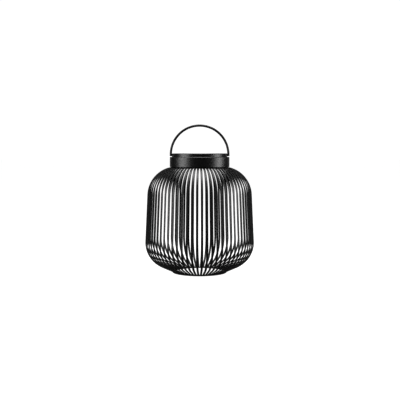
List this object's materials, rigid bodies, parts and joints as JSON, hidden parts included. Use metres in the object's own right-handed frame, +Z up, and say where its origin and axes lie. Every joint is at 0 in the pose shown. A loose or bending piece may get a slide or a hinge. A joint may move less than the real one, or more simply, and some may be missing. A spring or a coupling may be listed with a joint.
{
  "type": "solar lantern",
  "caption": "Bowed cage of flat steel slats on an open base ring, carrying a lift-off solar lamp head with a folding bail handle.",
  "frame": {"origin": "centre of the base ring's resting face", "axes": "+Z up through the middle of the cage and head; the handle's pivot axis lies along X, and the front faces -Y"},
  "size_m": [0.25, 0.25, 0.3397],
  "materials": {
    "cage_coat": "satin black powder coat on steel strip",
    "handle_coat": "satin black powder coat on round steel bar",
    "seat_rubber": "matt black rubber",
    "shell_plastic": "satin black moulded plastic with a fine grain",
    "cradle_plastic": "matt black moulded plastic",
    "screw_steel": "zinc-plated steel",
    "contact_metal": "nickel-plated spring steel",
    "panel_board": "pale glass-fibre laminate",
    "cell_silicon": "dark blue silicon cells with thin silver fingers",
    "panel_resin": "clear casting resin, slightly domed at the rim",
    "sealant": "black silicone bead",
    "lead_insulation": "red and black lead insulation",
    "board_green": "green solder mask",
    "component_black": "black moulded parts with tinned legs",
    "battery_wrap": "green shrink sleeve, bare metal ends",
    "board_white": "white solder mask on aluminium",
    "led_phosphor": "yellow phosphor gel in a white cup",
    "diffuser_opal": "frosted opal plastic",
    "button_rubber": "soft grey rubber",
    "plunger_plastic": "ochre moulded plastic"
  },
  "bodies": {
    "cage": {"slats_01": "cage_coat", "slats_02": "cage_coat", "slats_03": "cage_coat", "slats_04": "cage_coat", "slats_05": "cage_coat", "slats_06": "cage_coat", "slats_07": "cage_coat", "slats_08": "cage_coat", "slats_09": "cage_coat", "slats_10": "cage_coat", "slats_11": "cage_coat", "slats_12": "cage_coat", "slats_13": "cage_coat", "slats_14": "cage_coat", "base_ring": "cage_coat", "top_ring": "cage_coat", "bayonet_collar": "cage_coat"},
    "seat": {"seat_ring": "seat_rubber"},
    "solar_head": {"head_housing": "shell_plastic", "top_lid": "shell_plastic", "lid_seal": "seat_rubber", "lid_screws": "screw_steel", "solar_board": "panel_board", "solar_cells": "cell_silicon", "panel_cover": "panel_resin", "panel_sealant": "sealant", "panel_leads": "lead_insulation", "circuit_board": "board_green", "board_components": "component_black", "board_screws": "screw_steel", "switch_body": "cradle_plastic", "battery_cradle": "cradle_plastic", "battery_cell": "battery_wrap", "battery_plate": "contact_metal", "battery_spring": "contact_metal", "battery_leads": "lead_insulation", "battery_door": "shell_plastic", "door_seal": "seat_rubber", "door_screw": "screw_steel", "led_board": "board_white", "led_emitters": "led_phosphor", "led_screws": "screw_steel", "led_leads": "lead_insulation", "diffuser": "diffuser_opal", "bush_left": "cradle_plastic", "bush_right": "cradle_plastic"},
    "handle": {"handle_bail": "handle_coat"},
    "button": {"button_cap": "button_rubber", "switch_plunger": "plunger_plastic"}
  },
  "joints": [
    {"name": "head_turn", "type": "hinge", "parent": "cage", "child": "seat", "pos_m": [0, 0, 0.2429], "axis": [0, 0, 1], "range_deg": [-36, 0]},
    {"name": "head_lift", "type": "slide", "parent": "seat", "child": "solar_head", "axis": [0, 0, 1], "range_m": [0, 0.06]},
    {"name": "handle_swing", "type": "hinge", "parent": "solar_head", "child": "handle", "pos_m": [0, 0, 0.2699], "axis": [1, 0, 0], "range_deg": [-90, 90]},
    {"name": "power_button", "type": "slide", "parent": "solar_head", "child": "button", "axis": [0, 0, 1], "range_m": [0, 0.0012], "stiffness_N_per_m": 400, "springref_m": -0.001}
  ]
}
